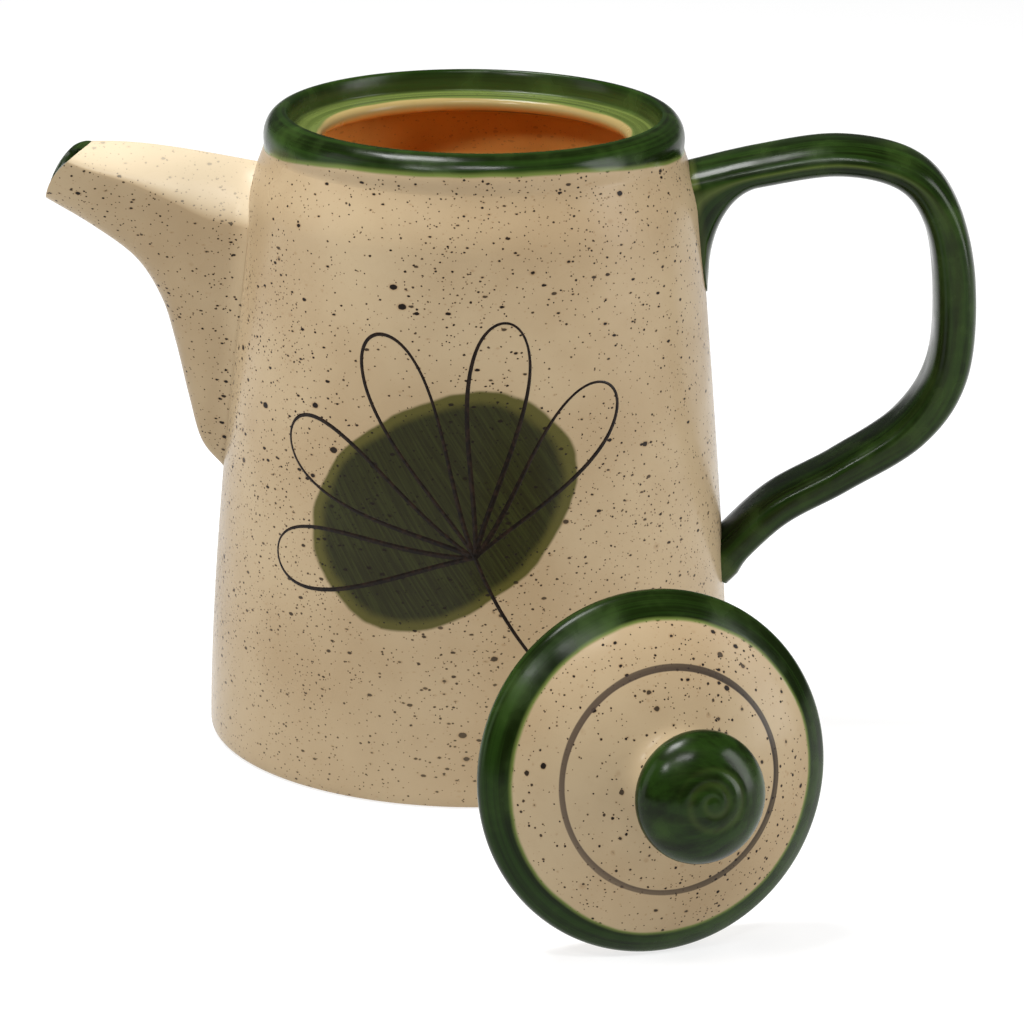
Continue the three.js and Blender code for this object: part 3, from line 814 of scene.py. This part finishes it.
# ---- The drawing on the pot's front ----
HUB = Vector((1.5, 55.7))  # along the wall from the front, and height
STEM_END = Vector((12.5, 35))
LEAF_LENGTH = 47
LEAF_HALF_WIDTH = 7.5
LEAF_FIRST, LEAF_LAST, LEAF_COUNT = 186, 48, 5


def on_wall(point, proud):
    radius = wall_radius(point.y)
    angle = point.x / DRAWING_RADIUS - math.pi / 2
    return Vector(((radius + proud) * math.cos(angle), (radius + proud) * math.sin(angle), point.y))


def ribbon(name, path, width_at):
    """A thin line lying on the wall, as one closed low strip."""
    rings = []
    for i, point in enumerate(path):
        side = path[min(i + 1, len(path) - 1)] - path[max(i - 1, 0)]
        side = Vector((-side.y, side.x)).normalized() * width_at(i / (len(path) - 1)) / 2
        rings.append([on_wall(point - side, -0.1), on_wall(point - side * 0.7, 0.04),
                      on_wall(point + side * 0.7, 0.04), on_wall(point + side, -0.1)])
    return loft(name, rings, [INK], crease=80)


def leaf_path(direction, length):
    path = []
    for i in range(121):
        t = i / 120
        along = length * math.sin(math.pi * t)
        across = LEAF_HALF_WIDTH * math.sin(2 * math.pi * t) * math.sin(math.pi * t) ** 0.4
        sway = noise.noise(Vector((t * 3, direction, 0))) * 0.9 * math.sin(math.pi * t)
        x = along * math.cos(direction) - (across + sway) * math.sin(direction)
        z = along * math.sin(direction) + (across + sway) * math.cos(direction)
        path.append(HUB + Vector((x, z)))
    return path


def drawing():
    pieces = []
    for i in range(LEAF_COUNT):
        share = i / (LEAF_COUNT - 1)
        direction = math.radians(lerp(LEAF_FIRST, LEAF_LAST, share))
        length = LEAF_LENGTH + 5 * math.sin(math.pi * share)
        path = leaf_path(direction, length)
        width = lambda t, i=i: 0.85 + 0.4 * abs(math.cos(math.pi * t)) ** 3 + 0.2 * math.sin(9 * t + 2 * i)
        pieces.append(ribbon(f"leaf_line_{i + 1}", path, width))
    bend = (HUB + STEM_END) / 2 + Vector((-1.2, -0.8))
    pieces.append(ribbon("stem_line", bezier([HUB, bend, STEM_END], 40), lambda t: 1.05 - 0.2 * t))
    return pieces


# ---- The lid, made about its own axis and then stood up ----
def stand(piece):
    upright = Matrix.Rotation(math.pi / 2 - LID_LEAN, 4, "X")
    turned = Matrix.Rotation(LID_TURN, 4, "Z")
    piece.matrix_world = Matrix.Translation(LID_CENTRE * MM) @ turned @ upright
    return piece


def lid_plate():
    underside = -LID_EDGE
    edge = arc(LID_RADIUS - LID_EDGE, 0, LID_EDGE, LID_EDGE, -90, 40, 24)
    rim = edge[-1]
    foot = Vector((NECK_RADIUS + NECK_FLARE, DOME_RISE))
    dome = bezier([rim, rim + Vector((-DOME_RISE / 2, DOME_RISE / 2)),
                   foot + Vector((NECK_FLARE, -NECK_FLARE / 3)), foot], 40)[1:]
    neck = bezier([foot, (NECK_RADIUS, foot.y + NECK_FLARE / 3), (NECK_RADIUS, NECK_TOP)], 20)[1:]
    hollow = DOME_RISE - DISC_THICKNESS
    inner = FLANGE_RADIUS - FLANGE_WALL
    ceiling = bezier([(0, hollow), (inner / 2, hollow), (0.75 * inner, lerp(underside, hollow, 0.6)),
                      (inner, underside)], 24)
    profile = [*ceiling, *edge, *dome, *neck, (NECK_RADIUS, NECK_TOP + 0.8), (0, NECK_TOP + 0.8)]
    return stand(lathe("lid_top", profile, [LID_CREAM, CREAM_PLAIN],
                       lambda strip: 1 if strip < len(ceiling) else 0))


def lid_flange():
    bottom = -LID_EDGE - FLANGE_LENGTH
    inner = FLANGE_RADIUS - FLANGE_WALL
    tip = arc(FLANGE_RADIUS - FLANGE_EDGE, bottom + FLANGE_EDGE, FLANGE_EDGE, FLANGE_EDGE, -90, 0, 8)
    under = arc(inner + FLANGE_EDGE, bottom + FLANGE_EDGE, FLANGE_EDGE, FLANGE_EDGE, 180, 270, 8)
    profile = [*under, *tip, Vector((FLANGE_RADIUS, -LID_EDGE)), Vector((inner, -LID_EDGE))]
    return stand(lathe("lid_ring", profile, [CLAY], loop=True))


def lid_knob():
    """The knob, with the shallow throwing spiral left on its top."""
    sink = KNOB_HALF_HEIGHT * math.sqrt(1 - (NECK_RADIUS / KNOB_RADIUS) ** 2)
    centre = NECK_TOP + 0.3 + sink
    start = math.degrees(math.asin(-sink / KNOB_HALF_HEIGHT))
    side = arc(0, centre, KNOB_RADIUS, KNOB_HALF_HEIGHT, start, 89.9, 110)
    profile = [(0, NECK_TOP), *side, (0, centre + KNOB_HALF_HEIGHT)]
    piece = lathe("knob", profile, [STRAP_GREEN], sides=128, crease=60)
    strokes, thins = [], []
    for vertex in piece.data.vertices:
        x, y, z = vertex.co / MM
        r = math.hypot(x, y)
        groove = 0
        if z > centre:
            turn = math.atan2(y, x) / (2 * math.pi)
            fade = smoothstep(r, 0.4, 1.6) * (1 - smoothstep(r, 6.3, 8))
            groove = fade * (0.5 + 0.5 * math.cos(2 * math.pi * (r / 3.1 - turn)))
            vertex.co.z -= MM * 0.2 * groove
        low = 1 - smoothstep(z, NECK_TOP + 0.3, NECK_TOP + 2.4)
        strokes.append((x * 0.2 + r * 0.3, y * 0.2, z * 0.25))
        thins.append((0.8 * low + 0.09 * groove ** 2, 0, 0))
    point_attribute(piece, "stroke", strokes)
    point_attribute(piece, "thin", thins)
    return stand(piece)


# ---- Putting it together ----
def add(piece, body, slot, *nodes):
    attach(piece, body)
    if nodes:
        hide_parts(*nodes)


add(pot_body(), "pot", "cream_glaze", "pot_body")
add(rim_collar(), "pot", "green_glaze", "rim_collar")
add(spout(), "pot", "cream_glaze", "spout")
add(handle(), "pot", "green_glaze", "handle")
for line in drawing():
    add(line, "pot", "painted_line")
add(lid_plate(), "lid", "cream_glaze", "lid_plate")
add(lid_flange(), "lid", "bare_clay", "lid_flange")
add(lid_knob(), "lid", "green_glaze", "lid_knob")


# ---- Floor, light and camera ----
def floor():
    mesh = bpy.data.meshes.new("floor")
    side = 4
    corners = [(-side, -side, 0), (side, -side, 0), (side, side, 0), (-side, side, 0)]
    mesh.from_pydata(corners, [], [(0, 1, 2, 3)])
    piece = bpy.data.objects.new("floor", mesh)
    bpy.context.scene.collection.objects.link(piece)
    piece.location.z = -0.0002
    material = bpy.data.materials.new("floor")
    material.use_nodes = True
    shader = material.node_tree.nodes["Principled BSDF"]
    shader.inputs["Base Color"].default_value = (0.3, 0.3, 0.3, 1)
    shader.inputs["Roughness"].default_value = 0.9
    shader.inputs["Specular IOR Level"].default_value = 0.1
    shader.inputs["Emission Color"].default_value = (1, 1, 1, 1)
    shader.inputs["Emission Strength"].default_value = 0.76
    mesh.materials.append(material)


def softbox(name, place, width, height, power):
    """A rectangular lamp, aimed at the middle of the pot."""
    light = bpy.data.lights.new(name, "AREA")
    light.shape = "RECTANGLE"
    light.size, light.size_y = width, height
    light.energy = power
    lamp = bpy.data.objects.new(name, light)
    bpy.context.scene.collection.objects.link(lamp)
    lamp.location = place
    lamp.rotation_euler = (Vector(MIDDLE) - Vector(place)).to_track_quat("-Z", "Y").to_euler()


EYE = (0.00923, -1.01976, 0.37068)
LENS = 168.75
PITCH = math.radians(90 - 17.53)
ROLL = math.radians(0.71)
MIDDLE = (0, 0, 0.07)


def camera():
    data = bpy.data.cameras.new("camera")
    data.lens = LENS
    data.clip_start = 0.05
    eye = bpy.data.objects.new("camera", data)
    bpy.context.scene.collection.objects.link(eye)
    turned = Matrix.Rotation(PITCH, 4, "X") @ Matrix.Rotation(ROLL, 4, "Z")
    eye.matrix_world = Matrix.Translation(EYE) @ turned
    bpy.context.scene.camera = eye


floor()
camera()
softbox("top_light", (-0.3, 0.0, 1.05), 0.35, 0.35, 14)
softbox("front_light", (0.05, -0.9, 1.2), 0.55, 0.11, 7.0)
softbox("window_light", (-0.5, -0.85, 0.9), 0.2, 0.14, 4)
softbox("left_light", (-1.1, -0.2, 0.45), 0.5, 0.9, 2.2)
softbox("right_light", (1.1, -0.25, 0.45), 0.4, 0.9, 9.5)
world = bpy.data.worlds.new("studio")
world.use_nodes = True
world.node_tree.nodes["Background"].inputs["Color"].default_value = (1, 1, 1, 1)
world.node_tree.nodes["Background"].inputs["Strength"].default_value = 0.08
bpy.context.scene.world = world
bpy.context.scene.view_settings.view_transform = "Standard"
